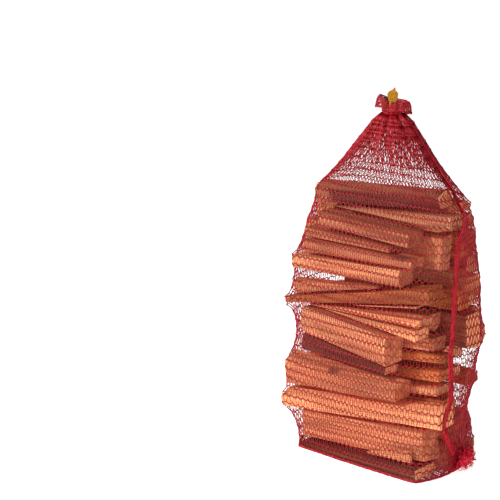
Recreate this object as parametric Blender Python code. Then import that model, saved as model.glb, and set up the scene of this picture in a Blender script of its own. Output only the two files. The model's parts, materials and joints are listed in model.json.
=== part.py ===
"""A net sack of kindling: split sticks stacked crosswise in a red knitted net bag, gathered by a yellow drawstring.

Metres, +Z up. X runs along the sticks, -Y is the front and the stack stands on z = 0.
"""

import math
from collections import namedtuple
from itertools import product

import bmesh
import bpy
import numpy as np
from mathutils import Matrix, Vector, noise
from mathutils.bvhtree import BVHTree

MM = 0.001

# Driving sizes, in millimetres as one would measure them on the sack
REFERENCE_X = 100.0  # heights of a stick's top edge are given at x = -100 and x = +100
STICK_GAP = 0.45  # air between neighbouring sticks
STATIONS = 5  # cross-sections along a stick
ROUGHNESS = 0.05  # how far a split face wanders inside its slot, as a share of the stick's half width
AXIS = (18.0, -12.0)  # middle of the sack in x and y
CORE = 70.0  # half length of the level line that the net's rays start from
ROUND = 60.0  # radius of the ends of the outline that spreads the rays evenly
NET_AROUND = 40  # facets of the net round the sack
NET_FINE = 3  # rays are cast this many times finer than the net's facets
EDGE_STEP = 5.0  # and the sticks' edges are sampled this far apart
RELAX_STEPS = 600
NET_THICKNESS = 1.0
NET_CLEARANCE = 1.3  # from the sticks to the inside of the net
FLOOR_THICKNESS = 1.2
BODY_HEIGHTS = (0.0, 5.0, 16.0) + tuple(np.linspace(29.0, 386.0, 26))
CONE_HEIGHTS = (402.0, 418.0, 434.0, 449.0)
NECK_HEIGHTS = (463.0, 468.0)  # the gathered neck is a short tube between these
NECK_RADIUS = 10.0
RUFFLE_HEIGHTS = (472.0, 477.5, 482.0)
RUFFLE_RADII = (12.6, 14.6, 16.4)
RUFFLE_LOBES = (1.6, 4.6, 6.4)  # how much wider it is at its two sides, and narrower behind the knot
RUFFLE_FOLDS = 7
KNOT_SIDE = 36.0  # degrees from the front, towards +X, at which the knot hangs
CORD_RADIUS = 1.3
TAPE = (5.0, 1.4)  # width and thickness of the drawstring's flat ends
STEM = (3.2, 2.2)  # and of the stretch from the neck to the knot
KNOT_RADIUS = 4.4
KNOT_PLACE = (8.4, -3.0, 12.5)  # out from the neck, across it and above it
SEAM_WIDTH = 8.0
SEAM_THICKNESS = 2.0
# The side seam's height and how far round the sack it is there, from the foot to the neck
SEAM_PATH = ((14, 0.245), (30, 0.222), (54, 0.197), (75, 0.186), (88, 0.191), (100, 0.198), (115, 0.205), (133, 0.207),
             (183, 0.203), (240, 0.206), (279, 0.21), (340, 0.216), (400, 0.232), (449, 0.245), (470, 0.25))
SEAM_STATIONS = 56
TUFT_RADII = (10.0, 18.0, 14.5)  # away from the net, along it and upwards
TUFT_PLACE = (17.0, 0.262)  # height, and share of the way round
TOUCH = 0.7  # air between the net and what lies on it

# A stick's slot in its course's frame: ends are its x range, faces its y range, and the heights of its bottom and
# top edges are given at x = -100 and x = +100
Stick = namedtuple("Stick", "section tone ends faces bottom top")
Course = namedtuple("Course", "turn sticks")

# Corners of a cross-section as shares of the stick's slot: 0 front to 1 back, 0 bottom to 1 top
SECTIONS = {
    "board": ((0.0, 0.06), (0.95, 0.0), (1.0, 0.9), (0.9, 1.0), (0.05, 0.97)),
    "slat": ((0.03, 0.0), (1.0, 0.08), (0.96, 1.0), (0.0, 0.85)),
    "ridge": ((0.0, 0.5), (0.24, 0.0), (0.95, 0.04), (1.0, 0.9), (0.25, 1.0)),
    "low_ridge": ((0.0, 0.62), (0.12, 0.0), (0.95, 0.03), (1.0, 0.95), (0.5, 1.0)),
    "broad": ((0.12, 0.0), (0.96, 0.05), (1.0, 0.9), (0.06, 1.0), (0.0, 0.45)),
    "chamfer": ((0.08, 0.0), (0.96, 0.05), (1.0, 0.85), (0.62, 1.0), (0.0, 0.66)),
    "wedge": ((0.0, 0.0), (1.0, 0.06), (0.93, 0.5), (0.4, 1.0), (0.06, 0.7)),
    "hung_wedge": ((0.0, 0.96), (0.08, 0.5), (0.55, 0.0), (0.95, 0.4), (1.0, 1.0)),
    "back_wedge": ((0.0, 0.05), (0.95, 0.0), (1.0, 0.45), (0.62, 1.0), (0.05, 0.55)),
    "back_bark": ((0.0, 0.0), (0.65, 0.02), (0.9, 0.18), (1.0, 0.5), (0.92, 0.82), (0.65, 1.0), (0.03, 0.95)),
}

# Colour, as linear RGB, of each tone of wood and of the two synthetic parts
TONES = {
    "pale": (0.80, 0.52, 0.34),
    "salmon": (0.66, 0.34, 0.20),
    "orange": (0.62, 0.24, 0.08),
    "brown": (0.34, 0.16, 0.10),
    "bark": (0.20, 0.11, 0.075),
}
NET_RED = (0.46, 0.01, 0.03)
STRING_YELLOW = (0.80, 0.50, 0.04)

# The stack from the floor up, one tuple for each course, with the front sticks first
COURSES = (
    Course(-2.0, (
        Stick("slat", "bark", (-76, 122), (-85, -34), (1.4, 1.4), (5.5, 19.8)),
        Stick("board", "pale", (40, 110), (-79, -72.5), (10, 20.8), (-14, 40)),
        Stick("board", "salmon", (-80, 124), (-72, -34), (6, 20.8), (50, 67)),
        Stick("ridge", "salmon", (-92, 131), (-34, -2), (1.4, 1.4), (30, 38)),
        Stick("board", "pale", (-104, 104), (-34, -2), (31, 39), (51, 66)),
        Stick("board", "orange", (-110, 127), (-2, 30), (1.4, 1.4), (25, 32)),
        Stick("wedge", "salmon", (-96, 124), (-2, 30), (26, 33), (51, 66)),
        Stick("back_bark", "brown", (-104, 114), (30, 62), (1.4, 1.4), (31, 28)),
        Stick("back_wedge", "pale", (-112, 106), (30, 62), (32, 29), (51, 66)),
    )),
    Course(2.0, (
        Stick("low_ridge", "pale", (-110, 141), (-82, -40), (52, 69), (77.5, 98)),
        Stick("board", "orange", (-100, 122), (-40, -6), (52, 69), (82, 100)),
        Stick("board", "salmon", (-116, 98), (-6, 28), (52, 69), (80, 92)),
        Stick("back_bark", "brown", (-108, 80), (28, 61), (52, 69), (80, 97)),
    )),
    Course(-1.0, (
        Stick("chamfer", "salmon", (-106, 80), (-79, -42), (81.5, 98.7), (130, 127)),
        Stick("slat", "pale", (-96, 118), (-42, -8), (85, 103.3), (101, 117.5)),
        Stick("board", "orange", (-104, 122), (-42, -8), (103, 122.5), (118, 139.5)),
        Stick("hung_wedge", "brown", (-112, 86), (-8, 26), (84, 100), (114, 118)),
        Stick("board", "pale", (-98, 112), (-8, 25), (115, 119), (133, 133)),
        Stick("board", "salmon", (-120, 72), (26, 60), (84, 100), (98, 101)),
        Stick("wedge", "orange", (-102, 117), (26, 60), (99, 102), (132, 127)),
    )),
    Course(-4.0, (
        Stick("board", "bark", (-80, 66), (-74, -44), (133, 129.5), (161, 139.5)),
        Stick("broad", "pale", (-72, 74), (-86, -44), (163.5, 141.5), (203, 187)),
        Stick("slat", "pale", (-36, 116), (-76, -44), (204, 188), (199, 205)),
        Stick("board", "salmon", (-62, 122), (-79, -44), (200, 206), (201.5, 217.5)),
        Stick("board", "orange", (-104, 132), (-42, -14), (121, 149), (141, 163)),
        Stick("board", "salmon", (-98, 118), (-42, -11), (142, 164), (178, 186)),
        Stick("hung_wedge", "salmon", (-106, 108), (-42, -10), (179, 187), (205, 215)),
        Stick("ridge", "brown", (-118, 108), (-10, 24), (135, 141), (170, 166)),
        Stick("board", "brown", (-104, 146), (-10, 24), (171, 167), (205, 215)),
        Stick("board", "pale", (-110, 93), (25, 58), (135, 134.5), (163, 158)),
        Stick("back_bark", "brown", (-98, 129), (24, 58), (164, 159), (190, 192)),
        Stick("back_wedge", "salmon", (-116, 120), (24, 58), (191, 193), (204, 214)),
    )),
    Course(1.0, (
        Stick("slat", "pale", (10, 103), (-76, -46), (199, 227.5), (199, 232)),
        Stick("board", "orange", (-104, 124), (-81, -42), (199.5, 232.5), (209.8, 255.4)),
        Stick("slat", "salmon", (-94, 42), (-75, -58), (211, 256.5), (234.5, 252.5)),
        Stick("broad", "pale", (-95, 77), (-79, -42), (248, 250.5), (268.5, 277)),
        Stick("board", "orange", (-34, 140), (-36, -8), (209, 219), (240, 246)),
        Stick("wedge", "brown", (-60, 134), (-8, 25), (209, 219), (240, 238)),
        Stick("board", "pale", (-108, 136), (-8, 25), (250, 240), (276, 264)),
        Stick("back_wedge", "orange", (-84, 118), (25, 58), (209, 219), (244, 248)),
        Stick("back_bark", "brown", (-112, 112), (25, 58), (250, 250), (276, 280)),
    )),
    Course(-1.0, (
        Stick("board", "salmon", (-79, 98), (-76, -42), (270.6, 278.4), (291, 292)),
        Stick("slat", "salmon", (-78, 60), (-72, -42), (292, 293), (309, 300.5)),
        Stick("board", "salmon", (-54, 92), (-74, -40), (313, 302.5), (335, 325.5)),
        Stick("board", "salmon", (-104, 117), (-38, -12), (262, 268), (310, 319)),
        Stick("chamfer", "pale", (-86, 112), (-39, -6), (312, 321), (335, 335)),
        Stick("wedge", "orange", (-98, 122), (-5, 27), (280, 282), (312, 316)),
        Stick("board", "salmon", (-110, 114), (-5, 27), (313, 317), (335, 335)),
        Stick("board", "brown", (-110, 108), (27, 57), (281, 284), (310, 312)),
        Stick("back_wedge", "pale", (-90, 104), (27, 57), (311, 313), (335, 335)),
    )),
    Course(-2.0, (
        Stick("board", "pale", (-32, 150), (-64, -30), (340, 334.2), (334.3, 351)),
        Stick("board", "salmon", (-96, 122), (-30, 6), (337, 336.5), (357, 358)),
        Stick("back_wedge", "brown", (-88, 104), (6, 50), (337, 336.5), (352, 354)),
    )),
    Course(-2.0, (
        Stick("chamfer", "bark", (-67, 132), (-64, -31), (333.5, 355), (368, 382)),
    )),
)


def principled(name, colour, roughness):
    material = bpy.data.materials.new(name)
    material.use_nodes = True
    shader = material.node_tree.nodes["Principled BSDF"]
    shader.inputs["Base Color"].default_value = (*colour, 1.0)
    shader.inputs["Roughness"].default_value = roughness
    shader.inputs["Metallic"].default_value = 0.0
    return material


def add_object(name, mesh, material, parent):
    thing = bpy.data.objects.new(name, mesh)
    bpy.context.scene.collection.objects.link(thing)
    mesh.materials.append(material)
    thing.parent = parent
    return thing


def at_reference(heights, x):
    """Height at x of an edge given at x = -100 and x = +100."""
    share = (x + REFERENCE_X) / (2 * REFERENCE_X)
    return heights[0] + (heights[1] - heights[0]) * share


def section_at(section, share, seed):
    """The corners of a section at a share of the stick's length, moved inwards a little as a split face wanders."""
    corners = []
    for index, (across, up) in enumerate(SECTIONS[section]):
        wander = noise.noise(Vector((index * 3.7, share * 2.3, seed * 11.3)))
        inward = 1.0 - ROUGHNESS * (0.5 + 0.5 * wander) * 2.0
        corners.append((0.5 + (across - 0.5) * inward, 0.5 + (up - 0.5) * inward))
    return corners


def slot_heights(stick):
    """Clear bottom and top heights of a stick's slot at its left end and at its right end."""
    return [(at_reference(stick.bottom, x) + STICK_GAP, at_reference(stick.top, x) - STICK_GAP) for x in stick.ends]


def slot_pitch(stick):
    """Angle of the stick's middle line above level."""
    (low_left, high_left), (low_right, high_right) = slot_heights(stick)
    return math.atan2((low_right + high_right - low_left - high_left) / 2, stick.ends[1] - stick.ends[0])


def stick_mesh(name, stick, seed):
    """A split stick along its own x axis, centred on its middle, with sawn ends."""
    pitch = slot_pitch(stick)
    length = (stick.ends[1] - stick.ends[0]) / math.cos(pitch)
    depth = stick.faces[1] - stick.faces[0] - 2 * STICK_GAP
    (low_left, high_left), (low_right, high_right) = slot_heights(stick)
    mesh = bpy.data.meshes.new(name)
    shape = bmesh.new()
    rings = []
    for station in range(STATIONS):
        share = station / (STATIONS - 1)
        tall = (high_left - low_left) * (1 - share) + (high_right - low_right) * share
        tall *= math.cos(pitch)
        along = (share - 0.5) * length
        slant = 0.0
        if station in (0, STATIONS - 1):
            slant = 0.2 * noise.noise(Vector((seed * 5.1, share * 9.0, 0.5)))
        ring = []
        for across, up in section_at(stick.section, share, seed):
            corner = Vector((along + slant * (up - 0.5) * tall, (across - 0.5) * depth, (up - 0.5) * tall))
            ring.append(shape.verts.new(corner * MM))
        rings.append(ring)
    for ring, following in zip(rings, rings[1:]):
        for i in range(len(ring)):
            j = (i + 1) % len(ring)
            shape.faces.new((ring[i], following[i], following[j], ring[j]))
    shape.faces.new(rings[0])
    shape.faces.new(reversed(rings[-1]))
    bmesh.ops.recalc_face_normals(shape, faces=shape.faces)
    shape.to_mesh(mesh)
    shape.free()
    return mesh


def add_stick(number, stick, turn, materials, parent):
    name = f"kindling_stick_{number:02d}"
    thing = add_object(name, stick_mesh(name, stick, number), materials[stick.tone], parent)
    middle = Vector((sum(stick.ends) / 2, sum(stick.faces) / 2, sum(map(sum, slot_heights(stick))) / 4))
    swing = Matrix.Rotation(math.radians(turn), 4, "Z")
    tilt = Matrix.Rotation(-slot_pitch(stick), 4, "Y")
    thing.matrix_local = swing @ Matrix.Translation(middle * MM) @ tilt
    return thing


def add_stack(materials, parent):
    sticks = []
    for course in COURSES:
        for stick in course.sticks:
            sticks.append(add_stick(len(sticks) + 1, stick, course.turn, materials, parent))
    bpy.context.view_layer.update()
    return sticks


def smooth(share):
    share = min(max(share, 0.0), 1.0)
    return share * share * (3 - 2 * share)


def net_ray(height, share):
    """Start and level direction of the ray on which the net's point lies; share runs once round from the front."""
    core = core_length(height)
    side, turn = 2 * core, math.pi * ROUND
    along = (share % 1.0) * 2 * (side + turn)
    if along < side / 2:
        return (along, 0.0), (0.0, -1.0)
    along -= side / 2
    if along < turn:
        angle = along / ROUND
        return (core, 0.0), (math.sin(angle), -math.cos(angle))
    along -= turn
    if along < side:
        return (core - along, 0.0), (0.0, 1.0)
    along -= side
    if along < turn:
        angle = along / ROUND
        return (-core, 0.0), (-math.sin(angle), math.cos(angle))
    return (along - turn - core, 0.0), (0.0, -1.0)


def ray_field(heights, around):
    """Starts and directions of all rays as arrays of rows by columns by (x, y)."""
    rays = [[net_ray(height, column / around) for column in range(around)] for height in heights]
    starts = np.array([[ray[0] for ray in row] for row in rays]) + np.array(AXIS)
    return starts, np.array([[ray[1] for ray in row] for row in rays])


def core_length(height):
    return CORE * (1.0 - smooth((height - 350.0) / 95.0))


def share_and_reach(point):
    """The share of the way round at which a ray passes through a point, and the point's distance along it."""
    core, turn = core_length(point.z), math.pi * ROUND
    x, y = point.x - AXIS[0], point.y - AXIS[1]
    inside = min(max(x, -core), core)
    if x > core:
        along = core + ROUND * math.atan2(x - core, -y)
    elif x < -core:
        along = 3 * core + turn + ROUND * math.atan2(-core - x, y)
    elif y > 0:
        along = 2 * core + turn - x
    else:
        along = x
    return (along / (4 * core + 2 * turn)) % 1.0, math.hypot(x - inside, y)


def stick_reach(sticks, heights):
    """Where the sticks hold the net out: rows, columns and distances, from rays and from points on their edges."""
    fine_rows = np.arange((len(heights) - 1) * NET_FINE + 1) / NET_FINE
    fine_heights = np.interp(fine_rows, np.arange(len(heights)), heights)
    starts, directions = ray_field(fine_heights, NET_AROUND * NET_FINE)
    vertices, faces, samples = [], [], []
    for thing in sticks:
        first = len(vertices)
        vertices += [(thing.matrix_world @ vertex.co) / MM for vertex in thing.data.vertices]
        faces += [[first + index for index in polygon.vertices] for polygon in thing.data.polygons]
        for edge in thing.data.edges:
            one, other = (vertices[first + index] for index in edge.vertices)
            count = int((other - one).length / EDGE_STEP) + 2
            for share in np.linspace(0.0, 1.0, count):
                point = one.lerp(other, share)
                around, reach = share_and_reach(point)
                samples.append((float(np.interp(point.z, heights, np.arange(len(heights)))), around * NET_AROUND, reach))
    tree = BVHTree.FromPolygons(vertices, faces)
    for row, height in enumerate(fine_heights):
        for column in range(NET_AROUND * NET_FINE):
            away = Vector((*directions[row, column], 0.0))
            hit = tree.ray_cast(Vector((*starts[row, column], height)) + away * 400, -away, 400)
            if hit[0] is not None:
                samples.append((fine_rows[row], column / NET_FINE, 400 - hit[3]))
    return np.array(samples).T


def neck_distances(share):
    """Rows of the neck and the ruffle above it at a share of the way round."""
    angle = share * 2 * math.pi
    side = -math.cos(2 * (angle - math.radians(KNOT_SIDE)))
    fold = math.sin(RUFFLE_FOLDS * angle + 0.6) * (0.6 + 0.4 * side)
    rows = [NECK_RADIUS for _ in NECK_HEIGHTS]
    for step, (radius, lobe) in enumerate(zip(RUFFLE_RADII, RUFFLE_LOBES)):
        rows.append(radius + lobe * side + fold * (0.5 + 0.6 * step))
    return rows


def net_distances(sticks):
    """Heights of the net's rows, and how far the inside of the net is along each ray: taut over the sticks."""
    heights = np.array(BODY_HEIGHTS + CONE_HEIGHTS + NECK_HEIGHTS + RUFFLE_HEIGHTS)
    free = len(BODY_HEIGHTS) + len(CONE_HEIGHTS)
    starts, directions = ray_field(heights, NET_AROUND)
    above = np.array([neck_distances(column / NET_AROUND) for column in range(NET_AROUND)]).T

    rows, columns, reach = stick_reach(sticks, heights[:free])
    low = np.minimum(rows.astype(int), free - 2)
    left = columns.astype(int) % NET_AROUND
    up, over = rows - low, columns - columns.astype(int)
    right = (left + 1) % NET_AROUND
    corners = ((low, left, (1 - up) * (1 - over)), (low, right, (1 - up) * over),
               (low + 1, left, up * (1 - over)), (low + 1, right, up * over))
    spread = sum(share**2 for _, _, share in corners)
    levels = np.interp(rows, np.arange(free), heights[:free])
    rays = [net_ray(level, column / NET_AROUND) for level, column in zip(levels, columns)]
    sample_starts = np.array([ray[0] for ray in rays]) + np.array(AXIS)
    sample_directions = np.array([ray[1] for ray in rays])

    distances = np.vstack([np.full((free, NET_AROUND), 75.0), above])
    hoop = np.array([1.0 - 0.98 * smooth((height - 380.0) / 40.0) for height in heights])[:free, None, None]
    stretch = 14.0 / np.diff(heights)[:free, None, None]
    for step in range(RELAX_STEPS):
        points = starts + directions * distances[..., None]
        if step < RELAX_STEPS * 0.85:
            pull = (np.roll(points, 1, 1) + np.roll(points, -1, 1))[:free] / 2 * hoop
            pull += points[1 : free + 1] * stretch
            pull[1:] += points[: free - 1] * stretch[:-1]
            weight = hoop + stretch
            weight[1:] += stretch[:-1]
            distances[:free] = ((pull / weight - starts[:free]) * directions[:free]).sum(-1)
            points = starts + directions * distances[..., None]
        surface = sum(points[row, column] * share[:, None] for row, column, share in corners)
        lack = reach + NET_CLEARANCE - ((surface - sample_starts) * sample_directions).sum(-1)
        lack = np.maximum(lack, 0.0) / spread
        push = np.zeros_like(distances)
        for row, column, share in corners:
            np.maximum.at(push, (row, column), lack * share)
        distances += push
    return heights, distances


def net_point(heights, distances, row, column):
    """A point of the net in millimetres; row and column may lie between the net's own."""
    row = min(max(row, 0.0), len(heights) - 1.001)
    low, up = int(row), row - int(row)
    left, over = int(math.floor(column)), column - math.floor(column)
    point = Vector((0.0, 0.0, 0.0))
    for r, c, share in ((low, left, (1 - up) * (1 - over)), (low, left + 1, (1 - up) * over),
                        (low + 1, left, up * (1 - over)), (low + 1, left + 1, up * over)):
        start, direction = net_ray(heights[r], c / NET_AROUND)
        away = distances[r, c % NET_AROUND]
        x = start[0] + AXIS[0] + direction[0] * away
        y = start[1] + AXIS[1] + direction[1] * away
        point += Vector((x, y, heights[r])) * share
    return point


def add_net(heights, distances, material, parent):
    """The bag: a thin shell with a flat foot, open only at the mouth of the ruffle."""
    mesh = bpy.data.meshes.new("net_bag")
    shape = bmesh.new()
    starts, directions = ray_field(heights, NET_AROUND)
    layers = []
    for extra, lift in ((NET_THICKNESS, 0.0), (0.0, FLOOR_THICKNESS)):
        rows = []
        for row, height in enumerate(heights):
            # the ruffle's rim dips to the right and rises to the left
            dip = 0.0
            if row >= len(heights) - len(RUFFLE_HEIGHTS):
                dip = (row - len(heights) + len(RUFFLE_HEIGHTS) + 1) / len(RUFFLE_HEIGHTS)
            ring = []
            for column in range(NET_AROUND):
                away = distances[row, column] + extra - (1.0 if row == 0 else 0.0)
                x, y = starts[row, column] + directions[row, column] * away
                wave = math.sin(2 * math.pi * column / NET_AROUND - 0.9)
                ring.append(shape.verts.new(Vector((x, y, max(height, lift) - 3.5 * dip * wave)) * MM))
            rows.append(ring)
        layers.append(rows)
    for side, rows in enumerate(layers):
        for ring, above in zip(rows, rows[1:]):
            for i in range(NET_AROUND):
                j = (i + 1) % NET_AROUND
                face = (ring[i], ring[j], above[j], above[i])
                shape.faces.new(face if side == 0 else reversed(face))
        shape.faces.new(rows[0] if side else reversed(rows[0]))
    for i in range(NET_AROUND):
        j = (i + 1) % NET_AROUND
        shape.faces.new((layers[0][-1][i], layers[0][-1][j], layers[1][-1][j], layers[1][-1][i]))
    for face in shape.faces:
        face.smooth = len(face.verts) == 4
    shape.to_mesh(mesh)
    shape.free()
    return add_object("net_bag", mesh, material, parent)


def mesh_from_rings(name, rings):
    """A closed body from rings of points in millimetres, capped at both ends."""
    mesh = bpy.data.meshes.new(name)
    shape = bmesh.new()
    made = [[shape.verts.new(Vector(point) * MM) for point in ring] for ring in rings]
    for ring, following in zip(made, made[1:]):
        for i in range(len(ring)):
            j = (i + 1) % len(ring)
            shape.faces.new((ring[i], ring[j], following[j], following[i]))
    shape.faces.new(reversed(made[0]))
    shape.faces.new(made[-1])
    bmesh.ops.recalc_face_normals(shape, faces=shape.faces)
    shape.to_mesh(mesh)
    shape.free()
    return mesh


def seam_column(height):
    levels, shares = zip(*SEAM_PATH)
    return NET_AROUND * float(np.interp(height, levels, shares))


def add_seam(heights, distances, material, parent):
    """The bunched seam that runs up the right side, on the outside of the net."""
    net_tree = BVHTree.FromObject(bpy.data.objects["net_bag"], bpy.context.evaluated_depsgraph_get())
    rows = np.arange(len(heights))
    levels = np.linspace(SEAM_PATH[0][0] + 14, CONE_HEIGHTS[-1] + 4, SEAM_STATIONS)
    middles = [net_point(heights, distances, float(np.interp(level, heights, rows)), seam_column(level))
               for level in levels]
    rings = []
    for index, middle in enumerate(middles):
        ahead = (middles[min(index + 1, len(middles) - 1)] - middles[max(index - 1, 0)]).normalized()
        row = float(np.interp(levels[index], heights, rows))
        beside = net_point(heights, distances, row, seam_column(levels[index]) + 0.4)
        out = (beside - middle).cross(ahead).normalized()
        across = ahead.cross(out).normalized()
        half = SEAM_WIDTH / 2 * (1.0 - 0.35 * smooth((levels[index] - 330) / 110))
        step = (middles[min(index + 1, len(middles) - 1)] - middles[max(index - 1, 0)]).length / 2
        walls = []
        for side, along in product((-1.2, -0.6, 0.0, 0.6, 1.2), (-0.6, -0.3, 0.0, 0.3, 0.6)):
            start = middle + across * (half * side) + ahead * (step * along) + out * 25
            hit = net_tree.ray_cast(start * MM, -out, 45 * MM)
            walls.append(25 - hit[3] / MM if hit[0] is not None else NET_THICKNESS)
        foot = max(walls) + TOUCH
        corners = ((-1, foot), (-0.5, foot + SEAM_THICKNESS), (0.5, foot + SEAM_THICKNESS), (1, foot))
        rings.append([middle + across * (half * side) + out * lift for side, lift in corners])
    return add_object("side_seam", mesh_from_rings("side_seam", rings), material, parent)


def tape(name, path, width, thickness, sideways):
    """A flat band along a path of points in millimetres."""
    path = [Vector(point) for point in path]
    rings = []
    for index, point in enumerate(path):
        before, after = path[max(index - 1, 0)], path[min(index + 1, len(path) - 1)]
        ahead = (after - before).normalized()
        across = (sideways - ahead * sideways.dot(ahead)).normalized() * width / 2
        up = ahead.cross(across).normalized() * thickness / 2
        rings.append([point + across + up, point - across + up, point - across - up, point + across - up])
    return mesh_from_rings(name, rings)


def add_union(thing, name, mesh, parent):
    """Joins a mesh to a thing with a modifier; the mesh's own object is only a tool."""
    tool = bpy.data.objects.new(name, mesh)
    bpy.context.scene.collection.objects.link(tool)
    tool.parent = parent
    tool.hide_render = True
    tool.display_type = "WIRE"
    union = thing.modifiers.new(name, "BOOLEAN")
    union.operation = "UNION"
    union.solver = "EXACT"
    union.object = tool


def add_drawstring(material, parent):
    """The yellow cord round the neck, with its knot and two short flat ends in front of the ruffle."""
    cord = bmesh.new()
    radius = NECK_RADIUS + NET_THICKNESS + 0.35 + CORD_RADIUS
    level = sum(NECK_HEIGHTS) / 2
    around, about = 28, 6
    rings = []
    for i in range(around):
        angle = 2 * math.pi * i / around
        ring = []
        for j in range(about):
            turn = 2 * math.pi * j / about
            away = radius + CORD_RADIUS * math.cos(turn)
            ring.append(cord.verts.new(Vector((AXIS[0] + away * math.cos(angle), AXIS[1] + away * math.sin(angle),
                                               level + CORD_RADIUS * math.sin(turn))) * MM))
        rings.append(ring)
    for i, ring in enumerate(rings):
        following = rings[(i + 1) % around]
        for j in range(about):
            k = (j + 1) % about
            cord.faces.new((ring[j], following[j], following[k], ring[k]))
    bmesh.ops.recalc_face_normals(cord, faces=cord.faces)
    mesh = bpy.data.meshes.new("drawstring")
    cord.to_mesh(mesh)
    cord.free()
    thing = add_object("drawstring", mesh, material, parent)
    for polygon in mesh.polygons:
        polygon.use_smooth = True

    turned = math.radians(KNOT_SIDE)
    out = Vector((math.sin(turned), -math.cos(turned), 0.0))
    across = Vector((math.cos(turned), math.sin(turned), 0.0))
    foot = Vector((*AXIS, level)) + out * (radius + 0.4)
    knot = foot + out * KNOT_PLACE[0] + across * KNOT_PLACE[1] + Vector((0.0, 0.0, KNOT_PLACE[2]))
    stem = [foot - out * 0.5, foot + out * 4.5 + Vector((0, 0, 2.5)), foot + out * 7.4 + Vector((0, 0, 7)), knot]
    add_union(thing, "cord_stem", tape("cord_stem", stem, *STEM, across), parent)
    ball = bmesh.new()
    bmesh.ops.create_icosphere(ball, subdivisions=2, radius=KNOT_RADIUS * MM,
                               matrix=Matrix.Translation(knot * MM) @ Matrix.Diagonal((1.15, 0.85, 0.9, 1.0)))
    knot_mesh = bpy.data.meshes.new("cord_knot")
    ball.to_mesh(knot_mesh)
    ball.free()
    add_union(thing, "cord_knot", knot_mesh, parent)
    up_end = [knot + across * 1 + Vector((0, 0, 1)), knot + across * 4.2 + out * 1.8 + Vector((0, 0, 7)),
              knot + across * 7.0 + out * 0.5 + Vector((0, 0, 13))]
    add_union(thing, "cord_end_up", tape("cord_end_up", up_end, *TAPE, across - out * 0.6), parent)
    side_end = [knot - across * 1.5, knot - across * 7 + out * 2 + Vector((0, 0, 1.5)),
                knot - across * 11 + out * 1 + Vector((0, 0, -3.5))]
    add_union(thing, "cord_end_side", tape("cord_end_side", side_end, *TAPE, Vector((0.2, 0, 1.0))), parent)
    return thing


def add_tuft(heights, distances, material, parent):
    """The bunched corner of the bag at the foot of the seam, lying against the net."""
    level, share = TUFT_PLACE
    row = float(np.interp(level, heights, np.arange(len(heights))))
    wall = net_point(heights, distances, row, share * NET_AROUND)
    out = Vector((*net_ray(level, share)[1], 0.0))
    along = Vector((-out.y, out.x, 0.0))
    centre = wall + out * TUFT_RADII[0] / 2
    net_tree = BVHTree.FromObject(bpy.data.objects["net_bag"], bpy.context.evaluated_depsgraph_get())
    ball = bmesh.new()
    bmesh.ops.create_icosphere(ball, subdivisions=3, radius=1.0)
    for vertex in ball.verts:
        bulge = vertex.co * (1.0 + 0.12 * noise.noise(vertex.co * 2.1))
        at = centre + out * bulge.x * TUFT_RADII[0] + along * bulge.y * TUFT_RADII[1]
        at += Vector((0.0, 0.0, bulge.z * TUFT_RADII[2]))
        hit = net_tree.ray_cast((at + out * 60) * MM, -out, 200 * MM)
        if hit[0] is not None:
            at += out * max((hit[0] / MM).dot(out) + TOUCH - at.dot(out), 0.0)
        vertex.co = at * MM
    mesh = bpy.data.meshes.new("net_tuft")
    ball.to_mesh(mesh)
    ball.free()
    for polygon in mesh.polygons:
        polygon.use_smooth = True
    return add_object("net_tuft", mesh, material, parent)


def centre_on_floor(parent):
    """Moves the whole sack so that its box is centred on x = y = 0 and stands on z = 0."""
    bpy.context.view_layer.update()
    corners = [thing.matrix_world @ vertex.co for thing in parent.children if not thing.hide_render
               for vertex in thing.data.vertices]
    low = [min(corner[axis] for corner in corners) for axis in range(3)]
    high = [max(corner[axis] for corner in corners) for axis in range(3)]
    parent.location = (-(low[0] + high[0]) / 2, -(low[1] + high[1]) / 2, -low[2])


def main():
    for thing in list(bpy.data.objects):
        bpy.data.objects.remove(thing)
    materials = {tone: principled(f"wood_{tone}", colour, 0.8) for tone, colour in TONES.items()}
    net_red = principled("net_red", NET_RED, 0.5)
    string_yellow = principled("string_yellow", STRING_YELLOW, 0.45)
    sack = bpy.data.objects.new("sack", None)
    bpy.context.scene.collection.objects.link(sack)
    sticks = add_stack(materials, sack)
    heights, distances = net_distances(sticks)
    add_net(heights, distances, net_red, sack)
    bpy.context.view_layer.update()
    add_seam(heights, distances, net_red, sack)
    add_tuft(heights, distances, net_red, sack)
    add_drawstring(string_yellow, sack)
    centre_on_floor(sack)


main()
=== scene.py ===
import json
import math

import bpy
import numpy as np
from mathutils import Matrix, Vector, noise
from mathutils.bvhtree import BVHTree


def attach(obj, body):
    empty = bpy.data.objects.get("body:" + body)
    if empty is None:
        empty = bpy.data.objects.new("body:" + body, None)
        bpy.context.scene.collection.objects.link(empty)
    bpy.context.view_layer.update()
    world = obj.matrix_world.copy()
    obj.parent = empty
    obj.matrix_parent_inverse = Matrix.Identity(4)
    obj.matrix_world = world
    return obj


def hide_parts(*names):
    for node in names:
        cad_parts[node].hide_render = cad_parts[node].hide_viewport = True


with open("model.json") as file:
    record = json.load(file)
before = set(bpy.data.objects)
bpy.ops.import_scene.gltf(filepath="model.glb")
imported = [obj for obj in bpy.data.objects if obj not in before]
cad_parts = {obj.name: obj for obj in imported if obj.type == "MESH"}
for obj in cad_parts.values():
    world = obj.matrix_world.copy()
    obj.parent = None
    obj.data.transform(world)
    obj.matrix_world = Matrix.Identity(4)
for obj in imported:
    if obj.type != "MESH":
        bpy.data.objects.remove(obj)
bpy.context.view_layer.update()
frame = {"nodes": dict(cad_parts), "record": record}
mm = 0.001
print("frame loaded:", len(frame["nodes"]), "nodes")


# Small helpers

def deselectAll():
    for thing in bpy.context.selected_objects:
        thing.select_set(False)


def addThing(name, data):
    thing = bpy.data.objects.new(name, data)
    bpy.context.scene.collection.objects.link(thing)
    return thing


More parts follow.
